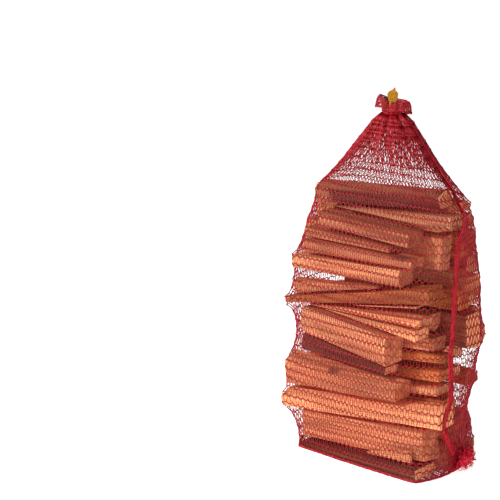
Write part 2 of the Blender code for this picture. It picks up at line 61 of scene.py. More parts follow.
def addMesh(name, points, faces):
    mesh = bpy.data.meshes.new(name)
    mesh.from_pydata([tuple(point) for point in points], [], faces)
    mesh.update()
    mesh.shade_smooth()
    return addThing(name, mesh)


# Faces of a tube from ring to ring
def tubeFaces(rings, around):
    index = np.arange(rings * around).reshape(rings, around)
    here, above = index[:-1], index[1:]
    return np.stack([here, np.roll(here, -1, 1), np.roll(above, -1, 1), above], -1).reshape(-1, 4).tolist()


# Turns all faces outwards and keeps the edges sharp that are steeper than the angle
def faceOutward(thing, sharpAngle):
    deselectAll()
    thing.select_set(True)
    bpy.context.view_layer.objects.active = thing
    bpy.ops.object.mode_set(mode="EDIT")
    bpy.ops.mesh.select_all(action="SELECT")
    bpy.ops.mesh.normals_make_consistent(inside=False)
    bpy.ops.object.mode_set(mode="OBJECT")
    bpy.ops.object.shade_smooth_by_angle(angle=math.radians(sharpAngle))


def dress(thing, material, slotName, *nodes):
    thing.data.materials.clear()
    thing.data.materials.append(material)
    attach(thing, "root")
    if nodes:
        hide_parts(*nodes)


def ease(share):
    share = min(max(share, 0.0), 1.0)
    return share * share * (3 - 2 * share)


def easeBetween(value, low, high):
    return ease((value - low) / (high - low))


def unit(ways):
    return ways / (np.linalg.norm(ways, axis=-1, keepdims=True) + 1e-12)


def turnsRound(count):
    return np.arange(count) / count * 2 * math.pi


# Smooths a line in place, its ends apart
def evenOut(line):
    line[1:-1] = (line[:-2] + line[1:-1] * 2 + line[2:]) / 4


def pointsOf(node):
    return np.array([vertex.co for vertex in node.data.vertices])


def cornersOf(node):
    return np.unique(pointsOf(node).round(6), axis=0)


def newMaterial(name, rough, gloss):
    material = bpy.data.materials.new(name)
    material.use_nodes = True
    shader = material.node_tree.nodes["Principled BSDF"]
    shader.inputs["Roughness"].default_value = rough
    shader.inputs["Specular IOR Level"].default_value = gloss
    return material, material.node_tree, shader


def addNode(tree, kind, place, **values):
    node = tree.nodes.new(kind)
    node.location = place
    for name, value in values.items():
        if hasattr(node, name):
            setattr(node, name, value)
        else:
            node.inputs[name.replace("_", " ")].default_value = value
    return node


def addRamp(tree, place, source, positions, colours):
    ramp = addNode(tree, "ShaderNodeValToRGB", place)
    for i in range(2):
        ramp.color_ramp.elements[i].position = positions[i]
        ramp.color_ramp.elements[i].color = (*colours[i], 1.0)
    tree.links.new(source, ramp.inputs[0])
    return ramp.outputs["Color"]


# Wood: each stick carries its own grain coordinates, in metres from its pith, and its shades

woodLook = {
    "wood_pale": {"light": (0.84, 0.355, 0.17), "dark": (0.54, 0.172, 0.065), "rough": 0.72},
    "wood_salmon": {"light": (0.72, 0.27, 0.125), "dark": (0.44, 0.115, 0.044), "rough": 0.75},
    "wood_orange": {"light": (0.62, 0.19, 0.05), "dark": (0.34, 0.078, 0.016), "rough": 0.7},
    # wood_brown: partly the wood's own darker tone and partly painted shade, for sticks that lie recessed in
    # shadow
    "wood_brown": {"light": (0.32, 0.12, 0.055), "dark": (0.13, 0.042, 0.02), "rough": 0.82},
    # wood_bark: the bark's own dark colour, made darker still as painted shade for bark faces in shadow
    "wood_bark": {"light": (0.115, 0.038, 0.019), "dark": (0.032, 0.010, 0.006), "rough": 0.9},
}

woodGrain = {
    "fibres": {"scale": (9.0, 330.0, 330.0), "detail": 5.0, "rough": 0.62},
    "hairs": {"scale": (45.0, 1700.0, 1700.0), "detail": 3.0, "rough": 0.6},
    "weather": {"scale": (9.0, 75.0, 75.0), "detail": 2.0, "rough": 0.5},
    "ringPace": 2600.0,  # growth rings round the pith
    "ringSway": 9.0,
    "ringShare": 0.17,
    "hairShare": 0.35,
    "tones": (0.42, 0.86),
    "weathered": {"From_Min": 0.32, "From_Max": 0.66, "To_Min": 0.66, "To_Max": 1.14},
    "knot": (0.10, 0.045, 0.03, 1.0),
    "sawn": (0.84, 0.32, 0.15, 1.0),
    "gloss": 0.25,
    "bump": 0.5,
    "bumpHeight": 0.0006,
}


def objectNoise(tree, scale, detail):
    place = addNode(tree, "ShaderNodeTexCoord", (-900, 0))
    pattern = addNode(tree, "ShaderNodeTexNoise", (-700, 0), Scale=scale, Detail=detail)
    tree.links.new(place.outputs["Object"], pattern.inputs["Vector"])
    return pattern.outputs["Fac"]


def stretchedNoise(tree, place, source, look):
    stretch = addNode(tree, "ShaderNodeMapping", place, Scale=look["scale"])
    tree.links.new(source, stretch.inputs["Vector"])
    pattern = addNode(tree, "ShaderNodeTexNoise", (place[0] + 200, place[1]),
                      Scale=1.0, Detail=look["detail"], Roughness=look["rough"])
    tree.links.new(stretch.outputs[0], pattern.inputs["Vector"])
    return pattern.outputs["Fac"]


def sumNode(tree, place, operation, *values):
    node = addNode(tree, "ShaderNodeMath", place, operation=operation)
    for socket, value in zip(node.inputs, values):
        if isinstance(value, float):
            socket.default_value = value
        else:
            tree.links.new(value, socket)
    return node.outputs[0]


# Lays a fixed colour over another where the mask says so
def overlay(tree, place, under, colour, mask):
    node = addNode(tree, "ShaderNodeMix", place, data_type="RGBA")
    node.inputs[7].default_value = colour
    tree.links.new(under, node.inputs[6])
    tree.links.new(mask, node.inputs[0])
    return node.outputs[2]


def woodMaterial(slotName, light, dark, rough):
    look = woodGrain
    material, tree, shader = newMaterial(slotName + "_grain", rough, look["gloss"])
    grain = addNode(tree, "ShaderNodeAttribute", (-1500, 0), attribute_name="grain").outputs["Vector"]
    shades = addNode(tree, "ShaderNodeAttribute", (-1500, -400), attribute_name="shades")
    split = addNode(tree, "ShaderNodeSeparateColor", (-1300, -400))
    tree.links.new(shades.outputs["Color"], split.inputs[0])
    fibres = stretchedNoise(tree, (-1300, 200), grain, look["fibres"])
    hairs = stretchedNoise(tree, (-1300, 500), grain, look["hairs"])
    patches = stretchedNoise(tree, (-1300, -650), grain, look["weather"])

    parts = addNode(tree, "ShaderNodeSeparateXYZ", (-1300, -100))
    tree.links.new(grain, parts.inputs[0])
    side, up = parts.outputs["Y"], parts.outputs["Z"]
    across = sumNode(tree, (-1100, -50), "MULTIPLY", side, side)
    square = sumNode(tree, (-1100, -200), "MULTIPLY_ADD", up, up, across)
    away = sumNode(tree, (-900, -120), "SQRT", square)
    sway = sumNode(tree, (-900, 60), "MULTIPLY", fibres, look["ringSway"])
    wavy = sumNode(tree, (-740, -120), "MULTIPLY_ADD", away, look["ringPace"], sway)
    rings = sumNode(tree, (-580, -120), "SINE", wavy)
    mixed = sumNode(tree, (-420, 60), "MULTIPLY_ADD", rings, look["ringShare"], fibres)
    finer = sumNode(tree, (-260, 60), "MULTIPLY_ADD", hairs, look["hairShare"], mixed)
    tone = addRamp(tree, (-100, 60), finer, look["tones"], (dark, light))

    spread = addNode(tree, "ShaderNodeMapRange", (-900, -650), **look["weathered"])
    tree.links.new(patches, spread.inputs["Value"])
    toned = sumNode(tree, (-300, -400), "MULTIPLY", split.outputs["Red"], spread.outputs["Result"])
    stained = addNode(tree, "ShaderNodeMix", (200, 60), data_type="RGBA", blend_type="MULTIPLY", Factor=1.0)
    tree.links.new(tone, stained.inputs[6])
    tree.links.new(toned, stained.inputs[7])
    knotted = overlay(tree, (420, 60), stained.outputs[2], look["knot"], split.outputs["Green"])
    sawn = overlay(tree, (540, 200), knotted, look["sawn"], split.outputs["Blue"])
    tree.links.new(sawn, shader.inputs["Base Color"])

    bump = addNode(tree, "ShaderNodeBump", (200, -300), Strength=look["bump"], Distance=look["bumpHeight"])
    tree.links.new(finer, bump.inputs["Height"])
    tree.links.new(bump.outputs[0], shader.inputs["Normal"])
    shader.location, tree.nodes["Material Output"].location = (750, 60), (1050, 60)
    return material


woodMaterials = {name: woodMaterial(name, **look) for name, look in woodLook.items()}

stickLook = {
    "sectionGap": 12 * mm,  # CAD points further apart than this are in two sections
    "alongStep": 6.0 * mm,  # one cross-section this often
    "aroundStep": 1.7 * mm,
    "ledgeDepth": 0.9 * mm,  # long flats that the split left, one below the other
    "ledges": 7,
    "ledgePace": (7, 110),  # along and across the stick
    "ledgeWave": 0.12,
    "fibreDepth": 0.35 * mm,
    "fibrePace": (16, 620),
    "edgeWear": 0.5 * mm,
    "edgeWidth": 2.2 * mm,
    "chips": (0.4, 1.2),  # least wear of an edge, and how much a chip adds
    "chipPace": (60, 0.7),
    "endRings": (0.93, 0.62, 0.3),  # the sawn ends are closed by shrinking rings
    "endRough": 0.12,
    "pithAway": (0.03, 0.09),  # the stick's distance from the middle of its log
    "shades": (0.84, 1.1),
    "knotDark": 0.85,
    "knotSpread": 1.35,
    "sawnPale": 0.85,  # the sawn ends of bark and brown sticks
    "sharpAngle": 38,
}

# How bright single sticks are beside others of their tone
stickShade = {1: 1.5, 2: 0.85, 3: 0.95, 10: 1.28, 22: 0.84, 34: 0.62, 35: 0.68, 36: 0.86, 42: 0.74, 43: 0.63,
              44: 0.58, 51: 0.52}

# Dark knots: share of the stick's length, depth and height, and half sizes along and across
knots = {14: (0.43, 0.0, 0.70, 10.0 * mm, 3.6 * mm), 42: (0.90, 0.0, 1.0, 16.0 * mm, 5.0 * mm)}

# Where a bark stick has bare wood: left of a share of its length and above a share of its height
bareWood = {54: {"left": 0.13, "leftFade": 0.04, "above": 0.60, "upFade": 0.12, "pale": 0.30}}


# Corners of the stick's five cross-sections in its own axes, those axes and its middle
def stickRings(node):
    points = cornersOf(node)
    middle = points.mean(0)
    axis = np.linalg.svd(points - middle)[2][0]
    axis = axis if axis[0] > 0 else -axis
    up = unit(np.array([0.0, 0.0, 1.0]) - axis * axis[2])
    axes = np.array([axis, np.cross(up, axis), up])
    local = (points - middle) @ axes.T
    local = local[np.argsort(local[:, 0])]
    breaks = np.where(np.diff(local[:, 0]) > stickLook["sectionGap"])[0] + 1
    rings = []
    for group in np.split(local, breaks):
        centre = group.mean(0)
        turn = np.arctan2(group[:, 2] - centre[2], group[:, 1] - centre[1])
        ring = group[np.argsort(turn)]
        if rings:
            shifts = [np.roll(ring, shift, 0) for shift in range(len(ring))]
            ring = min(shifts, key=lambda turned: ((turned - rings[-1])[:, 1:] ** 2).sum())
        rings.append(ring)
    return np.array(rings), axes, middle


# The smooth skin, as stations by points round the stick, and each point's distance from its corner
def stickSkin(rings):
    length = rings[-1][:, 0].mean() - rings[0][:, 0].mean()
    stations = int(length / stickLook["alongStep"]) + 2
    edges = np.linalg.norm((np.roll(rings[2], -1, 0) - rings[2])[:, 1:], axis=1)
    counts = np.maximum((edges / stickLook["aroundStep"]).astype(int), 2)
    places = np.linspace(0, len(rings) - 1, stations)
    low = np.minimum(places.astype(int), len(rings) - 2)
    part = (places - low)[:, None, None]
    sections = rings[low] * (1 - part) + rings[low + 1] * part
    following = np.roll(sections, -1, 1)
    lines, toCorner = [], []
    for corner, count in enumerate(counts):
        for share in np.arange(count) / count:
            lines.append(sections[:, corner] * (1 - share) + following[:, corner] * share)
            toCorner.append(min(share, 1 - share) * edges[corner])
    return np.stack(lines, 1), toCorner


# Ledges, fibres and worn edges cut into the skin
def cutSkin(skin, toCorner, shift):
    look = stickLook
    inward = skin.mean(1, keepdims=True) - skin
    inward[..., 0] = 0
    inward = unit(inward)  # towards the stick's middle line
    depth = np.zeros(skin.shape[:2])
    slow, quick = look["ledgePace"]
    fibreSlow, fibreQuick = look["fibrePace"]
    chipSlow, chipQuick = look["chipPace"]
    steps = look["ledges"]
    for i, j in np.ndindex(depth.shape):
        along, across, high = skin[i, j]
        broad = noise.noise(Vector((along * slow + shift[0], across * quick + shift[1], high * quick)))
        fibre = noise.noise(Vector((along * fibreSlow + shift[2], across * fibreQuick,
                                    high * fibreQuick + shift[1])))
        chip = 0.5 + 0.5 * noise.noise(Vector((along * chipSlow + shift[1], j * chipQuick, shift[0])))
        ledge = math.floor((broad + 1) * steps / 2) / steps + look["ledgeWave"] * broad
        worn = max(1.0 - toCorner[j] / look["edgeWidth"], 0.0)
        depth[i, j] = look["ledgeDepth"] * max(ledge, 0.0) + look["fibreDepth"] * (0.5 + 0.5 * fibre)
        depth[i, j] += look["edgeWear"] * worn * (look["chips"][0] + look["chips"][1] * chip)
    return skin + inward * depth[..., None]


# How dark the knots make each point of the skin
def knotShades(number, skin, rings):
    if number not in knots:
        return np.zeros(skin.shape[:2])
    lowest, highest = rings.min((0, 1)), rings.max((0, 1))
    *shares, halfAlong, halfUp = knots[number]
    at = lowest + (highest - lowest) * np.array(shares)
    away = ((skin[..., 0] - at[0]) / halfAlong) ** 2 + ((skin[..., 2] - at[2]) / halfUp) ** 2
    return np.clip(stickLook["knotSpread"] - away, 0, 1) * (skin[..., 1] < (lowest + highest)[1] / 2)


# Points and faces of the skin with its sawn ends
def closeStick(skin, chance):
    stations, around = skin.shape[:2]
    points, faces = list(skin.reshape(-1, 3)), tubeFaces(stations, around)
    for way, ring, first in ((-1, skin[0], 0), (1, skin[-1], (stations - 1) * around)):
        middle = ring.mean(0)
        for keep in stickLook["endRings"]:
            inner = middle + (ring - middle) * keep
            inner[:, 0] += chance.uniform(-stickLook["endRough"], stickLook["endRough"], around) * mm
            start = len(points)
            for j in range(around):
                k = (j + 1) % around
                faces.append((first + j, first + k, start + k, start + j)[::way])
            first = start
            points += list(inner)
        points.append(middle)
        for j in range(around):
            faces.append((first + j, first + (j + 1) % around, len(points) - 1)[::way])
    return np.array(points), faces


# A split stick, made from its CAD sections
def makeStick(number, name, node, slotName):
    rings, axes, middle = stickRings(node)
    chance = np.random.default_rng(number)
    skin, toCorner = stickSkin(rings)
    skin = cutSkin(skin, toCorner, chance.uniform(-50, 50, 3))
    skinCount = skin.shape[0] * skin.shape[1]
    local, faces = closeStick(skin, chance)
    thing = addMesh("split_" + name, local @ axes + middle, faces)

    turn = chance.uniform(0, 2 * math.pi)
    pith = chance.uniform(*stickLook["pithAway"]) * np.array([0.0, math.cos(turn), math.sin(turn)])
    grain = thing.data.attributes.new("grain", "FLOAT_VECTOR", "POINT")
    grain.data.foreach_set("vector", (local + pith + np.array([number * 1.7, 0.0, 0.0])).ravel())
    colours = np.zeros((len(local), 4))  # brightness, knots, sawn or bare wood
    colours[:, 0] = stickShade.get(number) or chance.uniform(*stickLook["shades"])
    colours[:skinCount, 1] = knotShades(number, skin, rings).ravel() * stickLook["knotDark"]
    colours[:, 3] = 1.0
    if slotName in ("wood_bark", "wood_brown"):
        colours[skinCount:, 2] = stickLook["sawnPale"]
    if number in bareWood:
        look = bareWood[number]
        span = (local - local.min(0)) / np.ptp(local, axis=0)
        left = np.clip((look["left"] - span[:, 0]) / look["leftFade"], 0, 1)
        above = np.clip((span[:, 2] - look["above"]) / look["upFade"], 0, 1)
        colours[:, 2] = np.maximum(colours[:, 2], np.maximum(left, above) * look["pale"])
    shades = thing.data.attributes.new("shades", "FLOAT_COLOR", "POINT")
    shades.data.foreach_set("color", colours.ravel())
    faceOutward(thing, stickLook["sharpAngle"])
    dress(thing, woodMaterials[slotName], slotName, name)


slotOf = {entry["node"]: entry["material_slot"] for entry in frame["record"]["subparts"]}
stickNodes = {name: node for name, node in frame["nodes"].items() if name.startswith("kindling_stick")}
for number, name in enumerate(sorted(stickNodes), 1):
    makeStick(number, name, stickNodes[name], slotOf[name])
print("sticks split:", len(stickNodes))


# The net lies taut over the sticks: rays leave a level line in the middle of the sack

netShape = {
    "rowPitch": 11.5 * mm,  # between knitted chains
    "wavesRound": 94,  # lace zigzags in each row
    "clearance": 0.85 * mm,  # from the wood to the middle of a strand
    "skinInset": 1.5 * mm,  # the CAD bag's outer face to the middle of its wall, less the strand
    "coreLength": 70 * mm,
    "roundRadius": 60 * mm,
    "coneFrom": 350 * mm,
    "coneTo": 445 * mm,
    "neckHeight": 463 * mm,
    "footHeight": 2.2 * mm,  # the lowest chain
    "rayLength": 0.4,
    "missed": 0.05,  # how far out the net starts where a ray misses the bag
    "edgeGive": 0.3 * mm,  # for edges that fall between two rows
    "rowPull": 0.9,  # how strongly the rows pull on each other
    "hoopEase": (385, 430),  # heights in mm between which the pull along a row fades
    "hoopFade": 0.97,
    "relaxSteps": 160,
}
columns = netShape["wavesRound"] * 2
subPitch = netShape["rowPitch"] / 2


# Middle of the bag's neck, from the CAD bag's own points near the cord
def neckMiddle():
    points = pointsOf(frame["nodes"]["net_bag"])
    near = np.unique(points[np.abs(points[:, 2] - netShape["neckHeight"]) < 2 * mm].round(5), axis=0)
    return (near.min(0) + near.max(0)) / 2


netAxis = neckMiddle()

# The net is drawn in between the sticks' ends at the right, above the tuft
netNotch = {
    "height": 78,
    "halfHeight": 36,
    "share": 0.97,
    "way": np.array([0.81, 0.59]),
    "facing": (0.35, 0.75),  # how much a ray faces that way where the notch starts and where it is full
}


# Starts and directions of one row's rays, once round from the front towards +X and back
def raysAt(height):
    core = netShape["coreLength"] * (1 - easeBetween(height, netShape["coneFrom"], netShape["coneTo"]))
    side, half = 2 * core, 2 * core + math.pi * netShape["roundRadius"]
    along = (np.arange(columns) / columns * 2 * half + core) % (2 * half)
    sign, rest = np.where(along < half, 1, -1), along % half
    angle = np.maximum(rest - side, 0) / netShape["roundRadius"]
    starts = np.column_stack([sign * (np.minimum(rest, side) - core), np.zeros(columns)])
    return starts + netAxis[:2], np.column_stack([sign * np.sin(angle), -sign * np.cos(angle)])


def treeOf(nodes):
    points, faces = [], []
    for node in nodes:
        first = len(points)
        points += [vertex.co.copy() for vertex in node.data.vertices]
        faces += [[first + index for index in polygon.vertices] for polygon in node.data.polygons]
    return BVHTree.FromPolygons(points, faces)


# How far out each ray of a row last meets the tree's mesh
def reachOf(tree, starts, ways, height, missing):
    reach = np.full(columns, missing)
    for i in range(columns):
        way = Vector((*ways[i], 0.0))
        far = Vector((*starts[i], height)) + way * netShape["rayLength"]
        hit = tree.ray_cast(far, -way, netShape["rayLength"])
        if hit[0] is not None:
            reach[i] = netShape["rayLength"] - hit[3]
    return reach


def relaxNet():
    look = netShape
    rowCount = int((look["neckHeight"] - look["footHeight"]) / subPitch) + 1
    heights = look["footHeight"] + np.arange(rowCount) * subPitch
    rays = [raysAt(height) for height in heights]
    starts, ways = (np.array(part) for part in zip(*rays))
    bag, wood = treeOf([frame["nodes"]["net_bag"]]), treeOf(stickNodes.values())

    def reaches(tree, lift, missing):
        return np.array([reachOf(tree, *ray, height + lift, missing) for ray, height in zip(rays, heights)])

    away = reaches(bag, 0.0, look["missed"]) - look["skinInset"]
    stops = reaches(wood, 0.0, 0.0) + look["clearance"]
    between = (reaches(wood, subPitch / 2, 0.0) + look["clearance"] - look["edgeGive"])[:-1]
    stops[:-1] = np.maximum(stops[:-1], between)
    stops[1:] = np.maximum(stops[1:], between)
    loose = [1 - look["hoopFade"] * easeBetween(height / mm, *look["hoopEase"]) for height in heights]
    loose = np.array(loose)[:, None, None]
    level = np.exp(-(((heights / mm - netNotch["height"]) / netNotch["halfHeight"]) ** 2))[:, None]
    least, most = netNotch["facing"]
    beside = np.clip((ways @ netNotch["way"] - least) / (most - least), 0, 1)
    bridging = (look["rowPull"] * (1 - netNotch["share"] * level * beside))[..., None]
    for _ in range(look["relaxSteps"]):
        spots = starts + ways * away[..., None]
        pull = (np.roll(spots, 1, 1) + np.roll(spots, -1, 1)) / 2 * loose
        pull[1:-1] += (spots[:-2] + spots[2:]) / 2 * bridging[1:-1]
        moved = ((pull / (loose + bridging) - starts) * ways).sum(-1)
        away[1:-1] = np.maximum(moved[1:-1], stops[1:-1])
        hoop = ((np.roll(spots[0], 1, 0) + np.roll(spots[0], -1, 0)) / 2 - starts[0]) * ways[0]
        away[0] = np.maximum(hoop.sum(-1), stops[0])
    return heights, ways, starts + ways * away[..., None]


netHeights, rayWays, netSpots = relaxNet()
print("net relaxed:", netSpots.shape[:2])

# Folds of the net into the neck, as share of the depth, number and phase
pleats = {"from": 392, "full": 455, "depth": 1.8 * mm, "folds": ((1, 9, 1.3), (0.6, 15, 0.4))}

# The net stands out below the tied neck
shoulders = ({"depth": 3.6 * mm, "from": 375, "full": 444, "held": 449, "to": 469},
             {"depth": 1.8 * mm, "from": 436, "full": 454, "held": 459, "to": 471})


def shapeNeck():
    turn = turnsRound(columns)
    fold = sum(share * np.sin(number * turn + phase) for share, number, phase in pleats["folds"])
    for row, level in enumerate(netHeights / mm):
        for shoulder in shoulders:
            swell = easeBetween(level, shoulder["from"], shoulder["full"])
            swell *= 1 - easeBetween(level, shoulder["held"], shoulder["to"])
            netSpots[row] += rayWays[row] * swell * shoulder["depth"]
        tight = easeBetween(level, pleats["from"], pleats["full"])
        netSpots[row] += rayWays[row] * (fold * tight * pleats["depth"])[:, None]


# Where the cone narrows, the spare columns bunch up at two sides and the others keep their spacing
gather = {
    "from": 340,
    "spacing": (2.9 * mm, 1.25 * mm),  # between columns at the cone's foot and at its top
    "spacingEase": (360, 440),
    "places": (0.85, 0.31),  # share of the way round
    "widths": (0.06, 0.09),
    "evenEase": (408, 444),  # heights between which the columns even out again
    "drift": 1.1,  # how many columns' widths a column strays
    "driftEase": (365, 405),
    "driftPace": (0.37, 28),
    "samples": 1600,
}


def gatherColumns(row, height):
    look = gather
    closed = np.vstack([netSpots[row], netSpots[row, :1]])
    at = np.concatenate([[0.0], np.cumsum(np.linalg.norm(np.diff(closed, axis=0), axis=1))])
    up = easeBetween(height / mm, *look["spacingEase"])
    spacing = look["spacing"][0] * (1 - up) + look["spacing"][1] * up
    natural = min(at[-1] / (columns * spacing), 1.0)
    count = look["samples"]
    share = np.arange(count) / count
    bunch = np.zeros(count)
    for place, width in zip(look["places"], look["widths"]):
        away = (share - place + 0.5) % 1.0 - 0.5
        bunch += np.exp(-np.abs(away / width) ** 1.3) / width
    even = easeBetween(height / mm, *look["evenEase"])
    density = (natural + (1 - natural) * bunch / bunch.mean()) * (1 - even) + even
    total = np.concatenate([[0.0], np.cumsum(density)]) / density.sum()
    pace, pacePerMetre = look["driftPace"]
    drift = np.array([noise.noise(Vector((i * pace, height * pacePerMetre, 3.1))) for i in range(columns)])
    drift *= look["drift"] * easeBetween(height / mm, *look["driftEase"])
    places = np.interp((np.arange(columns) + drift) / columns, total, np.arange(count + 1) / count) * at[-1]
    return np.column_stack([np.interp(places, at, closed[:, axis]) for axis in (0, 1)])


shapeNeck()
for netRow, rowHeight in enumerate(netHeights):
    if rowHeight > gather["from"] * mm:
        netSpots[netRow] = gatherColumns(netRow, rowHeight)
print("neck gathered")


# The row below a height on the net, and how far above it that is
def rowBelow(row):
    row = min(max(row, 0.0), len(netHeights) - 1.001)
    return int(row), row - int(row)


def rowPoints(row):
    return np.column_stack([netSpots[row], np.full(columns, netHeights[row])])


# A point of the net between its rows and columns
def netPoint(row, column):
    low, part = rowBelow(row)
    left, over = math.floor(column), column - math.floor(column)
    spots = rowPoints(low) * (1 - part) + rowPoints(low + 1) * part
    return spots[left % columns] * (1 - over) + spots[(left + 1) % columns] * over


# Outward directions along a row, level
def rowOutward(row):
    ahead = np.roll(netSpots[row], -1, 0) - np.roll(netSpots[row], 1, 0)
    return unit(np.stack([ahead[:, 1], -ahead[:, 0], np.zeros(columns)], 1))


# Direction of the net up its own surface, at each column of a row
def rowUpward(row):
    return unit(rowPoints(min(row + 1, len(netHeights) - 1)) - rowPoints(max(row - 1, 0)))


# Strands

strandLook = {
    "seed": 11,
    "lace": 0.47 * mm,  # half widths
    "laceAtNeck": 0.72 * mm,
    "neckEase": (345, 425),  # heights in mm between which the laces thicken
    "chain": 0.86 * mm,
    "bead": 0.24,  # how much the chain's loops swell it
    "chainWave": 1.25 * mm,
    "chainLoops": 4,  # knitted loops in each wave
    "chainLift": 0.25 * mm,
    "uneven": 0.25,
    "tipShare": 0.8,  # how far into the chain's wave a lace's tip reaches
    "tipTurn": 0.24,  # how far a lace runs along the chain as it turns, in columns
    "laceSwing": 0.3 * mm,
    "waveLength": 6.8 * mm,  # of the chain where it is not gathered
    "waveHeight": 3.6,  # the slack of a gathered wave goes up and down this many times
    "sides": 3,
}


# Points and faces of many strands at once, with paths as strands by points by xyz
def strands(paths, outs, radii, sides, closed=False):
    paths, outs = np.asarray(paths), np.asarray(outs)
    if closed:
        ahead = unit(np.roll(paths, -1, 1) - np.roll(paths, 1, 1))
    else:
        ahead = unit(np.gradient(paths, axis=1))
    beside = unit(np.cross(ahead, outs))
    over = np.cross(beside, ahead)
    angles = turnsRound(sides)[:, None]
    radii = np.broadcast_to(radii, paths.shape[:2])[..., None, None]
    ring = over[:, :, None] * np.cos(angles) + beside[:, :, None] * np.sin(angles)
    points = (paths[:, :, None] + ring * radii).reshape(-1, 3)
    index = np.arange(len(points)).reshape(*paths.shape[:2], sides)
    following = np.roll(index, -1, 1) if closed else index[:, 1:]
    current = index if closed else index[:, :-1]
    faces = np.stack([current, following, np.roll(following, -1, 2), np.roll(current, -1, 2)], -1)
    faces = faces.reshape(-1, 4).tolist()
    if not closed:
        faces += index[:, 0].tolist() + index[:, -1, ::-1].tolist()
    return points, faces


def closedStrand(path, outs, radii, sides=strandLook["sides"]):
    return strands([path], [outs], radii, sides, closed=True)


# Every second point from one row and the others from the next
def zigzag(row, following):
    return np.where((np.arange(len(row)) % 2 == 0)[:, None], row, following)


def joinStrands(name, groups):
    points, faces, first = [], [], 0
    for groupPoints, groupFaces in groups:
        points.append(groupPoints)
        faces += [[first + i for i in face] for face in groupFaces]
        first += len(groupPoints)
    return addMesh(name, np.concatenate(points), faces)


netLook = {"patches": 260.0, "tones": (0.3, 0.7), "rough": 0.42, "gloss": 0.35, "sheer": 0.25}


def netMaterial(name, deep, bright):
    material, tree, shader = newMaterial(name, netLook["rough"], netLook["gloss"])
    patches = objectNoise(tree, netLook["patches"], 3.0)
    tone = addRamp(tree, (-500, 0), patches, netLook["tones"], (deep, bright))
    tree.links.new(tone, shader.inputs["Base Color"])
    sheer = addNode(tree, "ShaderNodeBsdfTranslucent", (-200, -200))
    tree.links.new(tone, sheer.inputs["Color"])
    blend = addNode(tree, "ShaderNodeMixShader", (100, 0))
    blend.inputs[0].default_value = netLook["sheer"]
    tree.links.new(shader.outputs[0], blend.inputs[1])
    tree.links.new(sheer.outputs[0], blend.inputs[2])
    tree.links.new(blend.outputs[0], tree.nodes["Material Output"].inputs["Surface"])
    return material


chainRed = netMaterial("net_chain_red", (0.26, 0.004, 0.010), (0.54, 0.014, 0.026))
seamRed = netMaterial("net_seam_red", (0.34, 0.002, 0.010), (0.80, 0.006, 0.026))
tuftRed = netMaterial("net_tuft_red", (0.46, 0.002, 0.018), (0.92, 0.010, 0.050))


# One knitted chain: a closed wavy strand round the sack with beaded loops
def chainStrand(row, jitter):
    look = strandLook
    fine = netShape["wavesRound"] * look["chainLoops"] * 2
    at = np.arange(fine) * columns / fine
    left, over = at.astype(int), (at - at.astype(int))[:, None]
    right = (left + 1) % columns
    base = rowPoints(row)
    path, outs, ups = (values[left] * (1 - over) + values[right] * over
                       for values in (base, rowOutward(row), rowUpward(row)))
    spacing = np.linalg.norm(np.roll(base, -1, 0) - base, axis=1)[left] * 2
    slack = look["waveLength"] ** 2 - np.minimum(spacing, look["waveLength"]) ** 2
    gathered = np.sqrt(np.maximum(slack, 0)) / look["waveHeight"]
    height = np.maximum(look["chainWave"], gathered) * (1 + look["uneven"] * jitter[left])
    wave = np.cos(np.pi * at) * height
    path = path + ups * wave[:, None] + outs * look["chainLift"]
    radii = look["chain"] * (1 + look["bead"] * np.where(np.arange(fine) % 2, 1, -1))
    return closedStrand(path, outs, radii)


# The laces between a chain and the next one up: one closed zigzag that turns round both chains
def laceStrand(row, jitter, jitterAbove):
    look = strandLook
    steps = 3  # points for each lace, two at a chain and one half way
    out, middle = rowOutward(row + 1), rowPoints(row + 1)
    tip = look["chainWave"] * look["tipShare"]
    tips = zigzag(rowPoints(row) + rowUpward(row) * tip, rowPoints(row + 2) - rowUpward(row + 2) * tip)
    following = np.roll(middle, -1, 0)
    beside = (following - np.roll(middle, 1, 0)) / 2 * look["tipTurn"]
    swing = (jitter + jitterAbove)[:, None] * look["laceSwing"]
    path = np.zeros((columns * steps, 3))
    path[0::steps] = tips - beside
    path[1::steps] = tips + beside
    path[2::steps] = (middle + following) / 2 + swing * np.cross(out, [0.0, 0.0, 1.0])
    up = easeBetween(netHeights[row] / mm, *look["neckEase"])
    radius = look["lace"] * (1 - up) + look["laceAtNeck"] * up
    return closedStrand(path, np.repeat(out, steps, 0), radius)


# The net's foot, flat under the sticks
foot = {
    "rings": 30,
    "height": 0.7 * mm,
    "radius": 0.68 * mm,
    "keepOuter": 2,  # one column in this many goes on under the sticks
    "keepInner": 6,
    "innerFrom": 20,  # this ring and those nearer the middle
}


# A row of the net's foot, drawn in towards the middle under the sticks
def footRow(step):
    share = 1 - step / foot["rings"]
    spots = netAxis[:2] + (netSpots[0] - netAxis[:2]) * share
    return np.column_stack([spots, np.full(columns, foot["height"] if step else netHeights[0])])


def makeFoot():
    look = foot
    groups = []
    down = np.tile([0.0, 0.0, -1.0], (columns, 1))
    last = look["rings"] - 1
    for step in range(1, look["rings"]):
        every = look["keepOuter"] if step < look["innerFrom"] else look["keepInner"]
        row, following, outs = footRow(step)[::every], footRow(min(step + 1, last))[::every], down[::every]
        groups.append(closedStrand(row, outs, look["radius"]))
        if step < last:
            groups.append(closedStrand(zigzag(row, following), outs, look["radius"]))
    groups.append(closedStrand(zigzag(footRow(0), footRow(1)), down, look["radius"]))
    dress(joinStrands("net_foot", groups), chainRed, "net_red")


# The bunched edge where the net turns under the lowest sticks
footEdge = {
    "seed": 21,
    # level, lift and radius in mm
    "strands": ((1.0, 0.2, 0.8), (2.1, 0.6, 0.7), (3.4, 0.4, 0.6), (1.4, -0.9, 0.7)),
    "sway": 0.5,
    "sides": 4,
}


